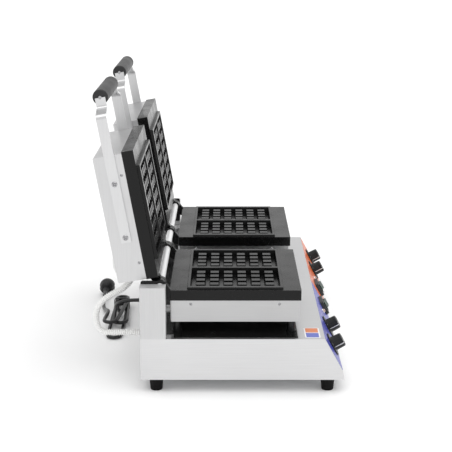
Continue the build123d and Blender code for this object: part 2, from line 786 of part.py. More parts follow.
hank_x = (-80, 150)
hank_y = (HINGE_Y + 92, HINGE_Y + 138)
hank_height = 34
tie_x = 112
tie_width = 8
hank_length = hank_x[1] - hank_x[0]
hank_width = hank_y[1] - hank_y[0]
tie_depth = 2.5
waist = (hank_width - 2 * tie_depth, hank_height - 2 * tie_depth)
waist_radius = 9
tie_plane = Plane.YZ.offset(tie_x - tie_width / 2)
hank_centre = (sum(hank_y) / 2, hank_height / 2)
with BuildPart() as cord_hank:
    with BuildSketch(Plane.XY):
        with Locations((sum(hank_x) / 2, sum(hank_y) / 2)):
            SlotOverall(hank_length, hank_width)
    extrude(amount=hank_height)
    fillet(cord_hank.faces().sort_by(Axis.Z)[-1].edges(), 11)
    fillet(cord_hank.faces().sort_by(Axis.Z)[0].edges(), 8)
    with BuildSketch(tie_plane):
        with Locations(hank_centre):
            Rectangle(2 * hank_width, 2 * hank_height)
            RectangleRounded(*waist, waist_radius, mode=Mode.SUBTRACT)
    extrude(amount=tie_width, mode=Mode.SUBTRACT)
write(cord_hank, "cord_hank")

with BuildPart() as cord_tie:
    with BuildSketch(tie_plane.offset(0.5)):
        with Locations(hank_centre):
            RectangleRounded(hank_width - 0.8, hank_height - 0.8, 11)
            RectangleRounded(*waist, waist_radius, mode=Mode.SUBTRACT)
    extrude(amount=tie_width - 1)
write(cord_tie, "cord_tie")

plug_y = HINGE_Y + 161
plug_z = 18.8
plug_back = 188
plug_face = plug_back + 50
plug_radius = 18.5
plug_points = [
    (plug_back, plug_y, plug_z),
    (160, plug_y, plug_z),
    (130, plug_y, 7),
    (98, plug_y, 4.5),
    (70, plug_y - 8, 4.5),
    (46, plug_y - 28, 10),
]
cord_tube(plug_points, "plug_lead")

with BuildPart() as mains_plug:
    with BuildSketch(Plane(origin=(0, plug_y, plug_z), x_dir=(1, 0, 0), z_dir=(0, -1, 0))):
        with BuildLine():
            Polyline(
                (plug_back, 0),
                (plug_back, 4.6),
                (plug_back + 18, 7.5),
                (plug_back + 20, 13),
                (plug_back + 36, plug_radius),
                (plug_face, plug_radius),
                (plug_face, 0),
                close=True,
            )
        make_face()
    revolve(axis=Axis((0, plug_y, plug_z), (1, 0, 0)))
    fillet(mains_plug.faces().sort_by(Axis.X)[-1].edges(), 1.5)
write(mains_plug, "mains_plug")

with BuildPart() as plug_pins:
    with BuildSketch(Plane.YZ.offset(plug_face)):
        with Locations((plug_y - 9.5, plug_z), (plug_y + 9.5, plug_z)):
            Circle(2.4)
    extrude(amount=19)
write(plug_pins, "plug_pins")

for x in KNOB_X:
    print("knob turns about", panel.from_local_coords(Vector(x, knob_row, 0)))
print("rocker tilts about", panel.from_local_coords(Vector(ROCKER_X, rocker_row, pivot_height)))
print("panel normal", panel.z_dir, "up the panel", panel.y_dir)
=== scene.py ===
import json
import math

import bmesh
import bpy
from mathutils import Matrix, Vector


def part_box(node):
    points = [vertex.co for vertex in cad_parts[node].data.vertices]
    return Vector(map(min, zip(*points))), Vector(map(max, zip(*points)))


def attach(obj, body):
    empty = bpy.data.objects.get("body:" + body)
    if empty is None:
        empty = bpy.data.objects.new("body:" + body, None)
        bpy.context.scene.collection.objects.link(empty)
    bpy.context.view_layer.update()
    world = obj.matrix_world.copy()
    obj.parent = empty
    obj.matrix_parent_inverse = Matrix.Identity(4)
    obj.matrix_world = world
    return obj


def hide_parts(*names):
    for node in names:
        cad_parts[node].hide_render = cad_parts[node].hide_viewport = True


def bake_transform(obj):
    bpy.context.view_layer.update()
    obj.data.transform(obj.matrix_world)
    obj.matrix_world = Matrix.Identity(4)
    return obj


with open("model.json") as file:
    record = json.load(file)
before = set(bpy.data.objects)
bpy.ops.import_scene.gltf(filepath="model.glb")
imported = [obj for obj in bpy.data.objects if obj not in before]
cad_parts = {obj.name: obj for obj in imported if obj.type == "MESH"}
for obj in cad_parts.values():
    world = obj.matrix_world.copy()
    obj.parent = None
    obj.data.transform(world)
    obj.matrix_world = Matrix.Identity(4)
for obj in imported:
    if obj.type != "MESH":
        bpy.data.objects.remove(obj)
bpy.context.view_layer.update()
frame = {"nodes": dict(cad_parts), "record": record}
nodes = frame["nodes"]
joints = {joint["name"]: joint for joint in frame["record"]["behaviour"]["joints"]}
SIDES = ("left", "right")
TAU = 2 * math.pi


# ---- camera ------------------------------------------------------------------------------

camera_data = bpy.data.cameras.new("camera")
camera_data.sensor_width = 36
camera_data.lens = 87.85
camera = bpy.data.objects.new("camera", camera_data)
camera.location = (-2.2816, -0.0138, 0.8336)
camera.rotation_euler = (math.radians(90 - 14.845), 0, math.radians(-89.99))
bpy.context.scene.collection.objects.link(camera)
bpy.context.scene.camera = camera


# ---- materials ---------------------------------------------------------------------------


def shader(name, **inputs):
    """A new material and its Principled shader, with constant inputs set on the shader itself."""
    made = bpy.data.materials.new(name)
    made.use_nodes = True
    principled = made.node_tree.nodes["Principled BSDF"]
    for key, value in inputs.items():
        principled.inputs[key.replace("_", " ")].default_value = value
    return made, made.node_tree, principled


def add(tree, kind, **settings):
    """A node of one kind with its settings."""
    node = tree.nodes.new(kind)
    for key, value in settings.items():
        setattr(node, key, value)
    return node


def grain(tree, scale, detail=3.0, roughness=0.5):
    """Noise in the object's own coordinates, stretched by a scale for each axis."""
    place = add(tree, "ShaderNodeTexCoord")
    mapping = add(tree, "ShaderNodeMapping")
    mapping.inputs["Scale"].default_value = scale
    noise = add(tree, "ShaderNodeTexNoise")
    noise.inputs["Scale"].default_value = 1.0
    noise.inputs["Detail"].default_value = detail
    noise.inputs["Roughness"].default_value = roughness
    tree.links.new(place.outputs["Object"], mapping.inputs["Vector"])
    tree.links.new(mapping.outputs["Vector"], noise.inputs["Vector"])
    return noise.outputs["Fac"]


def vary(tree, source, low, high, target, span=(0.3, 0.7)):
    """Drive a shader input between two values by a noise."""
    spread = add(tree, "ShaderNodeMapRange")
    spread.inputs["From Min"].default_value, spread.inputs["From Max"].default_value = span
    spread.inputs["To Min"].default_value = low
    spread.inputs["To Max"].default_value = high
    tree.links.new(source, spread.inputs["Value"])
    tree.links.new(spread.outputs["Result"], target)


def tint(tree, source, dark, light, target, span=(0.3, 0.7)):
    """Drive a colour between two colours by a noise."""
    ramp = add(tree, "ShaderNodeValToRGB")
    ramp.color_ramp.elements[0].position, ramp.color_ramp.elements[1].position = span
    ramp.color_ramp.elements[0].color = (*dark, 1)
    ramp.color_ramp.elements[1].color = (*light, 1)
    tree.links.new(source, ramp.inputs["Fac"])
    tree.links.new(ramp.outputs["Color"], target)


def relief(tree, principled, source, strength, distance):
    """Bump from a noise."""
    bump = add(tree, "ShaderNodeBump")
    bump.inputs["Strength"].default_value = strength
    bump.inputs["Distance"].default_value = distance
    tree.links.new(source, bump.inputs["Height"])
    tree.links.new(bump.outputs["Normal"], principled.inputs["Normal"])


def brushed(name, along, level, rough=(0.28, 0.4), metal=1.0):
    """Brushed stainless sheet. along is the axis that the brushing runs in, 0 to 2."""
    made, tree, principled = shader(name, Metallic=metal)
    scale = [1500.0, 1500.0, 1500.0]
    scale[along] = 14.0
    lines = grain(tree, scale, 4.0)
    dark, light = [(level * share, level * share, level * share * 1.006) for share in (0.965, 1.035)]
    tint(tree, lines, dark, light, principled.inputs["Base Color"])
    smudges = grain(tree, (9.0, 9.0, 9.0), 2.0)
    vary(tree, smudges, rough[0], rough[1], principled.inputs["Roughness"])
    relief(tree, principled, lines, 0.05, 0.0001)
    return made


def satin_black(name, colour, rough, bump=0.25, size=2600.0, **inputs):
    """Black coating or moulded plastic with a fine even texture."""
    made, tree, principled = shader(name, **inputs)
    fine = grain(tree, (size, size, size), 2.0)
    tint(tree, fine, [c * 0.75 for c in colour], [c * 1.3 for c in colour], principled.inputs["Base Color"])
    broad = grain(tree, (22.0, 22.0, 22.0), 3.0)
    vary(tree, broad, rough - 0.06, rough + 0.06, principled.inputs["Roughness"])
    relief(tree, principled, fine, bump, 0.00008)
    return made


def plain(name, dark, light, rough, size=900.0, bump=0.1, **inputs):
    """A finish that changes a little in colour over a fine grain."""
    made, tree, principled = shader(name, Roughness=rough, **inputs)
    fine = grain(tree, (size, size, size), 3.0)
    tint(tree, fine, dark, light, principled.inputs["Base Color"])
    relief(tree, principled, fine, bump, 0.00006)
    return made


steel_base = brushed("steel_base", 1, 0.665)
# Same brushed stainless as the base at a lower level: painted shade on the lower skirts.
steel_skirt_painted_shade = brushed("steel_skirt_painted_shade", 1, 0.505)
# Same brushed stainless a little darker than the base: painted shade on the columns and wire sleeves.
steel_column_painted_shade = brushed("steel_column_painted_shade", 2, 0.61, (0.4, 0.5), 0.5)
steel_cover = brushed("steel_cover", 2, 0.61)
steel_arm = brushed("steel_arm", 2, 0.665)
# Near-white and mostly not metallic: painted reflection, so the hinge shaft reads light rather than
# mirroring the dark plates.
steel_shaft_painted_reflection = brushed("bar_painted_reflection", 0, 0.93, (0.4, 0.5), 0.25)
steel_screw = plain("zinc_plated", (0.32, 0.32, 0.33), (0.5, 0.5, 0.51), 0.24, Metallic=1.0)
steel_dark = plain("heat_darkened", (0.2, 0.17, 0.15), (0.35, 0.31, 0.28), 0.45, Metallic=1.0)
galvanised = plain("galvanised", (0.5, 0.51, 0.52), (0.68, 0.69, 0.7), 0.42, 60.0, Metallic=1.0)
brass = plain("plated_brass", (0.6, 0.56, 0.45), (0.78, 0.74, 0.62), 0.25, Metallic=1.0)
cast_black = satin_black(
    "cast_plate_coating", (0.003, 0.003, 0.0031), 0.25, 0.2, 1800.0, Specular_IOR_Level=0.26,
)
# The top pan's black is painted shade: the base top under the heads is dark from their shadow and
# reflection.
pan_painted_shade = satin_black("pan_black_painted_shade", (0.006, 0.006, 0.006), 0.22, 0.1, Specular_IOR_Level=0.2)
bracket_black = satin_black("bracket_coating", (0.006, 0.006, 0.0065), 0.26, 0.15, Specular_IOR_Level=0.35)
knob_black = satin_black("knob_phenolic", (0.007, 0.008, 0.0085), 0.36, 0.3, Specular_IOR_Level=0.35)
grip_black = satin_black("grip_plastic", (0.012, 0.012, 0.0125), 0.46, 0.4, 1400.0)
switch_black = satin_black("switch_bezel", (0.01, 0.011, 0.011), 0.35, 0.2)
foot_black = satin_black("foot_rubber", (0.005, 0.005, 0.005), 0.6, 0.4, Specular_IOR_Level=0.12)
cord_black = satin_black("cord_rubber", (0.008, 0.008, 0.009), 0.34, 0.2, 1500.0)
plug_black = satin_black("plug_rubber", (0.008, 0.008, 0.0085), 0.42, 0.3, 1500.0, Specular_IOR_Level=0.3)
conduit_white = plain("conduit_metal", (0.88, 0.88, 0.87), (0.94, 0.94, 0.93), 0.4, 700.0)
label_blue = plain("film_blue", (0.045, 0.05, 0.36), (0.06, 0.07, 0.43), 0.33)
label_orange = plain("film_orange", (0.62, 0.1, 0.02), (0.72, 0.15, 0.03), 0.33)
ink_white = plain("printed_white", (0.72, 0.72, 0.72), (0.82, 0.82, 0.82), 0.5)
ink_grey = plain("printed_grey", (0.42, 0.43, 0.44), (0.55, 0.56, 0.57), 0.5)
inner_cream = plain("moulded_cream", (0.62, 0.58, 0.5), (0.72, 0.69, 0.62), 0.5)
rocker_green = plain(
    "rocker_green", (0.002, 0.02, 0.012), (0.004, 0.05, 0.028), 0.14, 300.0, 0.05,
    Coat_Weight=0.5, Transmission_Weight=0.15,
)
lens_rose = plain(
    "lamp_lens", (0.75, 0.5, 0.44), (0.9, 0.68, 0.6), 0.12, 400.0, 0.05, Transmission_Weight=0.5,
)
bright_ring = plain("bright_ring", (0.7, 0.7, 0.7), (0.85, 0.85, 0.85), 0.16, Metallic=1.0)


def badge_print():
    """White badge with a plain orange block over a plain blue block."""
    low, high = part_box("deck_badge")
    made, tree, principled = shader("badge_print", Roughness=0.3)
    place = add(tree, "ShaderNodeTexCoord")
    parts = add(tree, "ShaderNodeSeparateXYZ")
    tree.links.new(place.outputs["Object"], parts.inputs["Vector"])
    middle, border = (low + high) / 2, 0.0026
    colour = (0.86, 0.86, 0.86, 1)

    def near(axis, centre, half):
        inside = add(tree, "ShaderNodeMath", operation="COMPARE")
        tree.links.new(parts.outputs[axis], inside.inputs[0])
        inside.inputs[1].default_value = centre
        inside.inputs[2].default_value = half
        return inside.outputs["Value"]

    across = near("Y", middle.y, (high.y - low.y) / 2 - border)
    block_half = (high.x - low.x) / 4 - border * 0.62
    output = None
    for sign, ink in ((1, (0.72, 0.2, 0.06, 1)), (-1, (0.1, 0.13, 0.5, 1))):
        level = near("X", middle.x + sign * (block_half + 0.0012), block_half)
        both = add(tree, "ShaderNodeMath", operation="MULTIPLY")
        tree.links.new(across, both.inputs[0])
        tree.links.new(level, both.inputs[1])
        mix = add(tree, "ShaderNodeMix", data_type="RGBA")
        tree.links.new(both.outputs["Value"], mix.inputs["Factor"])
        mix.inputs[6].default_value = colour
        if output:
            tree.links.new(output, mix.inputs[6])
        mix.inputs[7].default_value = ink
        output = mix.outputs[2]
    tree.links.new(output, principled.inputs["Base Color"])
    return made


FINISHES = {
    "base_casing": steel_base,
    "top_pan": pan_painted_shade,
    "bottom_cover": galvanised,
    "foot_screws": steel_screw,
    "left_column": steel_column_painted_shade,
    "right_column": steel_column_painted_shade,
    "bearing_brackets": bracket_black,
    "hinge_shaft": steel_shaft_painted_reflection,
    "left_control_label": label_blue,
    "right_control_label": label_orange,
    "deck_badge": badge_print(),
    "thermostats": inner_cream,
    "timers": inner_cream,
    "lower_elements": steel_dark,
    "wire_sleeves": steel_column_painted_shade,
    "conduit_glands": steel_screw,
    "cable_gland": cord_black,
    "terminal_block": inner_cream,
    "plug_pins": brass,
}
for side in SIDES:
    FINISHES.update(
        {
            f"{side}_lower_plate": cast_black,
            f"{side}_lower_skirt": steel_skirt_painted_shade,
            f"{side}_switch_housing": switch_black,
            f"{side}_rocker": rocker_green,
            f"{side}_upper_plate": cast_black,
            f"{side}_upper_cover": steel_cover,
            f"{side}_handle_arms": steel_arm,
            f"{side}_handle_rod": steel_screw,
            f"{side}_upper_element": steel_dark,
            f"{side}_conduit_grommet": foot_black,
        }
    )
for name, finish in FINISHES.items():
    for place in nodes[name].material_slots:
        place.material = finish


def soften(name, width, segments=2):
    """Round the edges of a CAD node with modifiers, which leave its mesh as it is."""
    weld = nodes[name].modifiers.new("weld", "WELD")
    weld.merge_threshold = 0.000002
    edge = nodes[name].modifiers.new("edge", "BEVEL")
    edge.width = width
    edge.segments = segments
    edge.limit_method = "ANGLE"
    edge.angle_limit = math.radians(40)
    edge.use_clamp_overlap = True


for side in SIDES:
    soften(f"{side}_lower_plate", 0.0005)
    soften(f"{side}_upper_plate", 0.0005)
    soften(f"{side}_switch_housing", 0.0006)
    soften(f"{side}_rocker", 0.0006)


# ---- mesh helpers --------------------------------------------------------------------------


class Shape:
    """Vertices and faces gathered for one piece, in metres."""

    def __init__(self):
        self.verts, self.faces = [], []

    def grid(self, rows, closed_rows=False, caps=False):
        """A sheet of quads through rows of points; each row is closed on itself."""
        start = len(self.verts)
        count = len(rows[0])
        for row in rows:
            self.verts.extend(row)
        total = len(rows)
        for i in range(total if closed_rows else total - 1):
            a, b = start + i * count, start + ((i + 1) % total) * count
            for j in range(count):
                k = (j + 1) % count
                self.faces.append((a + j, a + k, b + k, b + j))
        if caps:
            self.faces.append(tuple(start + j for j in reversed(range(count))))
            last = start + (total - 1) * count
            self.faces.append(tuple(last + j for j in range(count)))

    def lathe(self, profile, place, steps=48, wave=None):
        """Turn a profile of (height, radius) about Z; wave(angle, height) scales the radius."""
        rows = []
        for height, radius in profile:
            row = []
            for j in range(steps):
                angle = TAU * j / steps
                reach = radius * (wave(angle, height) if wave else 1)
                row.append(place @ Vector((reach * math.cos(angle), reach * math.sin(angle), height)))
            rows.append(row)
        self.grid(rows, caps=True)

    def block(self, low, high, place):
        """A box with its corners at low and high."""
        rows = []
        for z in (low[2], high[2]):
            rows.append([place @ Vector((x, y, z)) for x, y in (
                (low[0], low[1]), (high[0], low[1]), (high[0], high[1]), (low[0], high[1]))])
        self.grid(rows, caps=True)

    def mesh(self, source, place):
        """Take in the faces of a mesh datablock."""
        start = len(self.verts)
        self.verts.extend(place @ v.co for v in source.vertices)
        self.faces.extend(tuple(start + i for i in p.vertices) for p in source.polygons)


def piece(name, shape, body, finish, stands_for=(), edge=0.0, smooth=True):
    """Make the object of a shape, on its body, with its finish."""
    data = bpy.data.meshes.new(name)
    data.from_pydata([tuple(v) for v in shape.verts], [], shape.faces)
    work = bmesh.new()
    work.from_mesh(data)
    bmesh.ops.recalc_face_normals(work, faces=work.faces)
    work.to_mesh(data)
    work.free()
    data.validate()
    made = bpy.data.objects.new(name, data)
    bpy.context.scene.collection.objects.link(made)
    data.materials.append(finish)
    if smooth:
        data.polygons.foreach_set("use_smooth", [True] * len(data.polygons))
        data.set_sharp_from_angle(angle=math.radians(38))
    if edge:
        rounding = made.modifiers.new("edge", "BEVEL")
        rounding.width = edge
        rounding.segments = 2
        rounding.limit_method = "ANGLE"
        rounding.angle_limit = math.radians(35)
    if isinstance(body, str):
        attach(made, body)
    if stands_for:
        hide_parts(*stands_for)
    return made


def on_joint(name, across=Vector((1, 0, 0))):
    """A place at a joint, with Z along its axis turned outwards and X across the machine."""
    joint = joints[name]
    axis = -Vector(joint["axis"]).normalized()
    up = axis.cross(across).normalized()
    turn = Matrix((across, up, axis)).transposed().to_4x4()
    return Matrix.Translation(Vector(joint["pos_m"])) @ turn


def facing(point, axis):
    """A place at a point, with Z along an axis."""
    return Matrix.Translation(point) @ Vector(axis).to_track_quat("Z", "Y").to_matrix().to_4x4()


# ---- mains cord ------------------------------------------------------------------------------

CORD = 0.008
HANK_Y = 0.2242
TIE_X = 0.112
LEAD = [
    (0.0, 0.1762, 0.062),
    (0.0, 0.2032, 0.062),
    (0.014, 0.2262, 0.049),
    (0.044, 0.230, 0.030),
    (0.066, 0.226, 0.014),
    (0.086, 0.2275, 0.0052),
    (0.099, 0.2315, 0.0046),
]
PLUG_LEAD = [
    (0.046, 0.2490, 0.0225),
    (0.076, 0.2570, 0.0120),
    (0.108, 0.2655, 0.0060),
    (0.138, 0.2702, 0.0090),
    (0.163, 0.2702, 0.0180),
    (0.188, 0.2702, 0.0188),
]
FLOOR_TURN = 0.0044
TURN_RISE = 0.0085
WAIST = 0.011
TIE_LIFT = 0.0016
TURNS = ((-0.078, 0.0145, 0.001), (-0.010, 0.0145, -0.006), (-0.030, 0.0140, 0.014))


def hank_turn(near, half, swing, level):
    """One turn of the hank: through the tie, round the far end, back, and round the near end.

    swing moves the near end sideways."""
    far_middle, far_half = 0.131, 0.0155
    turn = [(TIE_X, WAIST, TIE_LIFT)]
    for angle in (60, 0, -60):
        a = math.radians(angle)
        turn.append((far_middle + far_half * math.cos(a), far_half * math.sin(a), 0))
    turn.append((TIE_X, -WAIST, TIE_LIFT))
    near_middle = near + half
    span = TIE_X - near_middle
    turn += [(TIE_X - span * share, -half * 0.95, 0) for share in (0.33, 0.68)]
    for angle in (-90, -135, 180, 135, 90):
        a = math.radians(angle)
        turn.append((near_middle + half * math.cos(a), half * math.sin(a), 0))
    for share, rise in ((0.68, 0.3), (0.33, 0.75)):
        turn.append((TIE_X - span * share, half * 0.95, TURN_RISE * rise))
    lean = [swing * max(0.0, min(1.0, (TIE_X - x) / span)) for x, y, z in turn]
    return [(x, HANK_Y + y + side, level + z) for (x, y, z), side in zip(turn, lean)]


def spline(name, points, radius=0.0):
    """A smooth NURBS curve through the control points."""
    data = bpy.data.curves.new(name, "CURVE")
    data.dimensions = "3D"
    line = data.splines.new("NURBS")
    line.points.add(len(points) - 1)
    for point, place in zip(line.points, points):
        point.co = (*place, 1.0)
    line.order_u = 3
    line.use_endpoint_u = True
    line.resolution_u = 12
    data.bevel_depth = radius
    data.bevel_resolution = 6
    data.use_fill_caps = True
    made = bpy.data.objects.new(name, data)
    bpy.context.scene.collection.objects.link(made)
    return made


def line_of(points):
    """The points of the smooth line that a route's spline follows."""
    made = spline("route", points)
    bpy.context.view_layer.update()
    data = bpy.data.meshes.new_from_object(made)
    line = [v.co.copy() for v in data.vertices]
    bpy.data.objects.remove(made)
    bpy.data.meshes.remove(data)
    return line


route = list(LEAD)
for i, (near, half, swing) in enumerate(TURNS):
    route += hank_turn(near, half, swing, FLOOR_TURN + TURN_RISE * i)
route = route[:-1]
route += PLUG_LEAD
cord = spline("mains_cord", route, CORD / 2)
cord.data.materials.append(cord_black)
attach(cord, "base")
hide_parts("power_cord", "cord_hank", "plug_lead")


def cord_tie():
    """A strap round the waist of the hank."""
    shape = Shape()
    strap, wall = 0.008, 0.0011
    half_y = WAIST + CORD / 2 + 0.0016
    low = 0.0014
    high = FLOOR_TURN + TIE_LIFT + 2 * TURN_RISE + CORD / 2 + 0.0012
    corner = 0.005
    outline = []
    for cy, cz, start in (
        (half_y - corner, high - corner, 0),
        (-half_y + corner, high - corner, 90),
        (-half_y + corner, low + corner, 180),
        (half_y - corner, low + corner, 270),
    ):
        for step in range(5):
            a = math.radians(start + 22.5 * step)
            outline.append((cy, cz, math.cos(a), math.sin(a)))
    rows = []
    for reach, x in (
        (corner, -strap / 2), (corner + wall * 0.7, -strap / 2), (corner + wall, -strap / 2 + 0.0006),
        (corner + wall, strap / 2 - 0.0006), (corner + wall * 0.7, strap / 2), (corner, strap / 2),
    ):
        rows.append([
            Vector((TIE_X + x, HANK_Y + cy + reach * c, cz + reach * s)) for cy, cz, c, s in outline
        ])
    shape.grid(rows, closed_rows=True)
    return piece("cord_tie_strap", shape, "base", plug_black, ("cord_tie",))


def plug():
    """Round mains plug with finger ribs, a stepped neck and two notches for the earth clips."""
    low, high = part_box("mains_plug")
    centre = (low + high) / 2
    place = facing(Vector((low.x, centre.y, centre.z)), (1, 0, 0))
    length, rim = high.x - low.x, high.z - centre.z
    shape = Shape()

    def ribs(angle, height):
        if height < length * 0.36:
            return 1
        notch = 0.1 * max(0.0, 1 - abs(math.sin(angle)) * 4.5)
        return 1 - 0.022 * (0.5 + 0.5 * math.cos(24 * angle)) - notch

    profile = [(0, 0.001), (0, 0.0042)]
    for step in range(6):
        at = 0.002 + 0.0026 * step
        profile += [(at, 0.0046 + 0.0004 * step), (at + 0.0013, 0.0052 + 0.0004 * step)]
    profile += [
        (0.0182, 0.0076), (0.0192, 0.0105), (0.0212, 0.0134), (0.028, 0.0158), (0.0345, 0.0176),
        (0.038, rim), (length - 0.002, rim), (length - 0.0006, rim - 0.0005), (length, rim - 0.002),
        (length, rim - 0.0035), (length - 0.0012, rim - 0.004), (length - 0.0012, 0.001),
    ]
    shape.lathe(profile, place, 144, ribs)
    return piece("mains_plug_body", shape, "base", plug_black, ("mains_plug",))


plug()
cord_tie()


# ---- conduits --------------------------------------------------------------------------------


CONDUIT_ROUTE = (
    (0.1512, 0.0865),
    (0.1900, 0.0865),
    (0.2372, 0.0865),
    (0.2382, 0.1485),
    (0.1596, 0.1861),
    (0.16558, 0.22061),
)
RIB_PITCH = 0.0038
RIB_VALLEY = 0.0043
RIB_HEIGHT = 0.0021


def conduit(side, x):
    """Ribbed flexible conduit from the base to an open head."""
    line = line_of([(x, y, z) for y, z in CONDUIT_ROUTE])
    reach = [0.0]
    for a, b in zip(line, line[1:]):
        reach.append(reach[-1] + (b - a).length)
    per_rib, ring = 6, 24
    count = int(reach[-1] / RIB_PITCH) * per_rib
    rows, k = [], 0
    for i in range(count + 1):
        at = reach[-1] * i / count
        while k < len(line) - 2 and reach[k + 1] < at:
            k += 1
        share = (at - reach[k]) / (reach[k + 1] - reach[k])
        centre = line[k].lerp(line[k + 1], share)
        before, after = line[max(k - 1, 0)], line[min(k + 2, len(line) - 1)]
        along = ((line[k + 1] - before).lerp(after - line[k], share)).normalized()
        outward = Vector((1, 0, 0))
        up = along.cross(outward).normalized()
        swell = 0.5 + 0.5 * math.cos(TAU * i / per_rib)
        radius = RIB_VALLEY + RIB_HEIGHT * swell**0.6
        rows.append([centre + radius * (math.cos(a) * outward + math.sin(a) * up)
                     for a in (TAU * j / ring for j in range(ring))])
    shape = Shape()
    shape.grid(rows, caps=True)
    made = piece(f"{side}_ribbed_conduit", shape, None, conduit_white, (f"{side}_conduit",))
    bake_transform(made)
    return made


for side in SIDES:
    low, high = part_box(f"{side}_conduit")
    conduit(side, (low.x + high.x) / 2)


# ---- heads -----------------------------------------------------------------------------------

OPEN_LEAN = math.radians(9.9)
ARM_DEPTH = 0.045


def head_place(side):
    """The open head's own frame: X across, Y up along the plate, Z out of its face."""
    hinge = Vector(joints[f"{side}_head_hinge"]["pos_m"])
    up = Vector((0, math.sin(OPEN_LEAN), math.cos(OPEN_LEAN)))
    out = Vector((0, -math.cos(OPEN_LEAN), math.sin(OPEN_LEAN)))
    return Matrix.Translation(hinge) @ Matrix((Vector((1, 0, 0)), up, out)).transposed().to_4x4()


def cross_head(shape, place, radius, height, slot_width, depth):
    """A domed screw head with a cross recess."""
    steps, rings = 48, 16
    rows = [[place @ Vector((radius * math.cos(TAU * j / steps), radius * math.sin(TAU * j / steps), 0))
             for j in range(steps)]]
    for i in range(rings):
        r = radius * (1 - i / rings)
        row = []
        for j in range(steps):
            a = TAU * j / steps
            x, y = r * math.cos(a), r * math.sin(a)
            top = height * (1 - 0.75 * (r / radius) ** 3)
            arm = min(abs(x), abs(y))
            long = max(abs(x), abs(y))
            inside = max(0.0, min(1.0, (slot_width - arm) / (slot_width * 0.3)))
            inside *= max(0.0, min(1.0, (radius * 0.62 - long) / (radius * 0.1)))
            row.append(place @ Vector((x, y, top - depth * inside)))
        rows.append(row)
    shape.grid(rows, caps=True)


def head_screws(side):
    """The screws of the handle arms and of the cover, on both sides of a head."""
    place = head_place(side)
    for name, xs, ys, depth, radius, height in (
        ("handle", 0.142, (0.103, 0.205), -ARM_DEPTH, 0.0053, 0.0026),
        ("cover", 0.138, (0.0505, 0.2184), -0.0298, 0.0028, 0.0013),
    ):
        shape = Shape()
        for sign in (-1, 1):
            for y in ys:
                spot = place @ Matrix.Translation((sign * xs, y, depth))
                spot = spot @ Matrix.Rotation(sign * TAU / 4, 4, "Y")
                spin = Matrix.Rotation(math.radians(20 + 37 * y * 1000), 4, "Z")
                cross_head(shape, spot @ spin, radius, height, radius * 0.17, height * 0.55)
        piece(
            f"{side}_{name}_screw_heads", shape, f"{side}_head", steel_screw,
            (f"{side}_{name}_screws",),
        )


def grip(side):
    """Round handle grip with fine lengthwise flutes and rounded ends."""
    low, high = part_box(f"{side}_handle_grip")
    centre, half, radius = (low + high) / 2, (high.x - low.x) / 2, (high.z - low.z) / 2
    place = facing(centre, (1, 0, 0))
    shape = Shape()

    def flutes(angle, height):
        if abs(height) > half - 0.004:
            return 1
        return 1 - 0.016 * (0.5 - 0.5 * math.cos(44 * angle)) ** 0.6

    profile = [(-half, 0.0031), (-half, radius * 0.8), (-half + 0.0005, radius * 0.9)]
    profile += [(-half + 0.0016, radius * 0.97), (-half + 0.0032, radius), (-half + 0.0042, radius)]
    profile += [(z * (half - 0.005) / 4, radius) for z in range(-4, 5)]
    profile += [(-z, r) for z, r in reversed(profile[:6])]
    shape.lathe(profile, place, 264, flutes)
    piece(f"{side}_fluted_grip", shape, f"{side}_head", grip_black, (f"{side}_handle_grip",))


for side in SIDES:
    head_screws(side)
    grip(side)


# ---- lower stations ----------------------------------------------------------------------------


def skirt_screws():
    """Small screws in both sides of each lower skirt."""
    shape = Shape()
    for side in SIDES:
        low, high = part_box(f"{side}_lower_skirt")
        for x, sign in ((low.x, -1), (high.x, 1)):
            for y in (high.y - 0.0387, low.y + 0.038):
                spot = facing(Vector((x, y, high.z - 0.007)), (sign, 0, 0))
                cross_head(shape, spot, 0.0028, 0.0013, 0.0005, 0.0007)
    piece("skirt_screw_heads", shape, "base", steel_screw, ("skirt_screws",))


def posts():
    """Round posts with a nut at the foot and a washer at the top."""
    low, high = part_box("support_posts")
    radius, tall = 0.0095, high.z - low.z
    shape = Shape()
    for side in SIDES:
        edge_low, edge_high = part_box(f"{side}_lower_plate")
        for x in (edge_low.x + 0.015, edge_high.x - 0.015):
            for y in (low.y + radius, high.y - radius):
                place = Matrix.Translation((x, y, low.z))
                shape.lathe(
                    [
                        (0, 0.004), (0, radius), (0.0012, radius), (0.0016, radius - 0.0014),
                        (tall - 0.004, radius - 0.0018), (tall - 0.0034, radius), (tall, radius),
                        (tall, 0.004),
                    ],
                    place, 40,
                )
    piece("station_posts", shape, "base", bracket_black, ("support_posts",))


def feet():
    """Tapered rubber feet with a rounded tread and a hollow for the screw."""
    low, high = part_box("rubber_feet")
    wide, tip, tall = 0.014, 0.0115, high.z - low.z
    shape = Shape()
    for x in (low.x + wide, high.x - wide):
        for y in (low.y + wide, high.y - wide):
            shape.lathe(
                [
                    (0.009, 0.0026), (0.0082, 0.0056), (0.0005, 0.006), (0, 0.0066), (0, tip - 0.0014),
                    (0.0005, tip - 0.0004), (0.0016, tip), (tall - 0.0022, wide - 0.0006),
                    (tall - 0.001, wide), (tall, wide), (tall, 0.0026),
                ],
                Matrix.Translation((x, y, 0)), 56,
            )
    piece("moulded_feet", shape, "base", foot_black, ("rubber_feet",))


skirt_screws()
posts()
feet()


# ---- control panel -------------------------------------------------------------------------------


def lettering(words, size, place, shape, depth=0.00012):
    """Add a printed number to a shape, centred at a place."""
    data = bpy.data.curves.new("number", "FONT")
    data.body = words
    data.size = size
    data.align_x, data.align_y = "CENTER", "CENTER"
    data.extrude = depth / 2
    data.resolution_u = 2
    made = bpy.data.objects.new("number", data)
    bpy.context.scene.collection.objects.link(made)
    bpy.context.view_layer.update()
    flat = bpy.data.meshes.new_from_object(made)
    shape.mesh(flat, place)
    bpy.data.objects.remove(made)
    bpy.data.meshes.remove(flat)


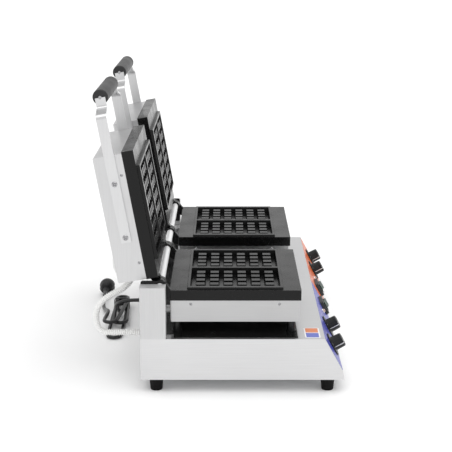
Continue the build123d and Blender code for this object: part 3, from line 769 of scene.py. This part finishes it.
def knob(side, use, numbers, sweep):
    """Skirted knob: fluted grip with a white pointer line, and numbers round the skirt."""
    body = f"{side}_{use}_knob"
    place = on_joint(f"{side}_{use}_turn")
    lift, skirt, grip_base, top = 0.0008, 0.0230, 0.0140, 0.0234
    shape = Shape()

    def flutes(angle, height):
        if not 0.0042 < height < top - 0.0022:
            return 1
        return 1 - 0.035 * (0.5 - 0.5 * math.cos(20 * angle)) ** 2.5

    profile = [
        (-0.0150, 0.0006), (-0.0150, 0.003), (lift, 0.003), (lift, skirt - 0.0006), (lift + 0.0006, skirt),
        (lift + 0.0016, skirt), (lift + 0.0022, skirt - 0.0006), (lift + 0.0026, skirt - 0.003),
        (lift + 0.0028, grip_base + 0.0006), (0.0041, grip_base), (0.0043, grip_base),
        (0.0100, grip_base - 0.0002), (0.0160, grip_base - 0.0005), (top - 0.0023, grip_base - 0.0007),
        (top - 0.0021, grip_base - 0.0007), (top - 0.0008, grip_base - 0.0011), (top, grip_base - 0.0022),
        (top, grip_base - 0.0034), (top - 0.0005, grip_base - 0.0042), (top - 0.0005, 0.0006),
    ]
    shape.lathe(profile, place, 160, flutes)
    piece(f"{body}_grip", shape, body, knob_black, (body,))

    line = Shape()
    pointer = place @ Matrix.Rotation(math.radians(POINTERS[(side, use)]), 4, "Z")
    line.block((grip_base - 0.0013, -0.0006, 0.0042), (grip_base + 0.0002, 0.0006, top - 0.0006), pointer)
    line.block((0.002, -0.0006, top - 0.0008), (grip_base - 0.0009, 0.0006, top + 0.0001), pointer)
    piece(f"{body}_pointer", line, body, ink_white, edge=0.0001)

    print_shape = Shape()
    for i, words in enumerate(numbers):
        angle = math.radians(90 - sweep * i / (len(numbers) - 1))
        out = Vector((math.cos(angle), math.sin(angle), 0)) * 0.0182
        spot = Matrix.Translation(out + Vector((0, 0, lift + 0.00275)))
        lettering(words, 0.0042, place @ spot @ Matrix.Rotation(angle - TAU / 4, 4, "Z"), print_shape)
    piece(f"{body}_numbers", print_shape, body, ink_grey, smooth=False)


POINTERS = {
    ("left", "temperature"): 191,
    ("left", "timer"): 189,
    ("right", "temperature"): 200,
    ("right", "timer"): 190,
}
for side in SIDES:
    knob(side, "temperature", ("0", "50", "100", "150", "200", "250", "300"), 290)
    knob(side, "timer", ("0", "1", "2", "3", "4", "5"), 300)


def panel_marks(side):
    """Printed scale ticks round the knobs, on the label."""
    shape = Shape()
    film = 0.0004
    for use in ("temperature", "timer"):
        place = on_joint(f"{side}_{use}_turn")
        for i in range(25):
            turned = place @ Matrix.Rotation(math.radians(-60 - 12.5 * i), 4, "Z")
            reach = 0.0285 if i % 4 == 0 else 0.0265
            shape.block((0.0242, -0.0003, film), (reach, 0.0003, film + 0.0001), turned)
    piece(f"{side}_printed_scales", shape, "base", ink_white, smooth=False)


for side in SIDES:
    panel_marks(side)


def lamps():
    """Indicator lamps: a bright ring and a faceted lens."""
    ring, lens = Shape(), Shape()
    low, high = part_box("indicator_lamps")
    knob_frame = on_joint("left_timer_turn")
    for x in (low.x + 0.0055, high.x - 0.0055):
        place = Matrix.Translation((x, 0, 0))
        place = place @ Matrix.Translation((-knob_frame.translation.x, 0, 0)) @ knob_frame
        place = place @ Matrix.Translation((0, 0.0055, 0.0004))
        ring.lathe(
            [
                (-0.0142, 0.001), (-0.0142, 0.0035), (0, 0.0035), (0, 0.0053), (0.0004, 0.0055),
                (0.0011, 0.0054), (0.0016, 0.0049), (0.0016, 0.0042), (0.0008, 0.0040), (0.0008, 0.001),
            ],
            place, 48,
        )
        lens.lathe(
            [(0.0009, 0.001), (0.0009, 0.0039), (0.0022, 0.0038), (0.0034, 0.0034), (0.0044, 0.0026),
             (0.0049, 0.0014), (0.0051, 0.0003)],
            place, 16,
        )
    piece("lamp_rings", ring, "base", bright_ring, ("indicator_lamps",))
    piece("lamp_lenses", lens, "base", lens_rose)


lamps()


# ---- floor, light and view transform ----------------------------------------------------------------

floor_mesh = bpy.data.meshes.new("floor")
reach = 60.0
floor_corners = [(-reach, -reach, 0), (reach, -reach, 0), (reach, reach, 0), (-reach, reach, 0)]
floor_mesh.from_pydata(floor_corners, [], [(0, 1, 2, 3)])
floor = bpy.data.objects.new("floor", floor_mesh)
floor_finish, floor_tree, floor_shader = shader(
    "floor_pale", Roughness=0.9, Emission_Color=(1, 1, 1, 1), Emission_Strength=0.05,
)
floor_cloud = grain(floor_tree, (3.0, 3.0, 3.0))
tint(floor_tree, floor_cloud, (0.9, 0.9, 0.9), (0.93, 0.93, 0.93), floor_shader.inputs["Base Color"])
floor_mesh.materials.append(floor_finish)
bpy.context.scene.collection.objects.link(floor)

world = bpy.data.worlds.new("studio")
world.use_nodes = True
world.node_tree.nodes["Background"].inputs["Color"].default_value = (1, 1, 1, 1)
world.node_tree.nodes["Background"].inputs["Strength"].default_value = 0.85
bpy.context.scene.world = world

sun = bpy.data.lights.new("soft_overhead", "SUN")
sun.energy = 1.2
sun.angle = math.radians(75)
overhead = bpy.data.objects.new("soft_overhead", sun)
overhead.rotation_euler = (math.radians(8), math.radians(-6), 0)
bpy.context.scene.collection.objects.link(overhead)
bpy.context.scene.view_settings.view_transform = "Standard"
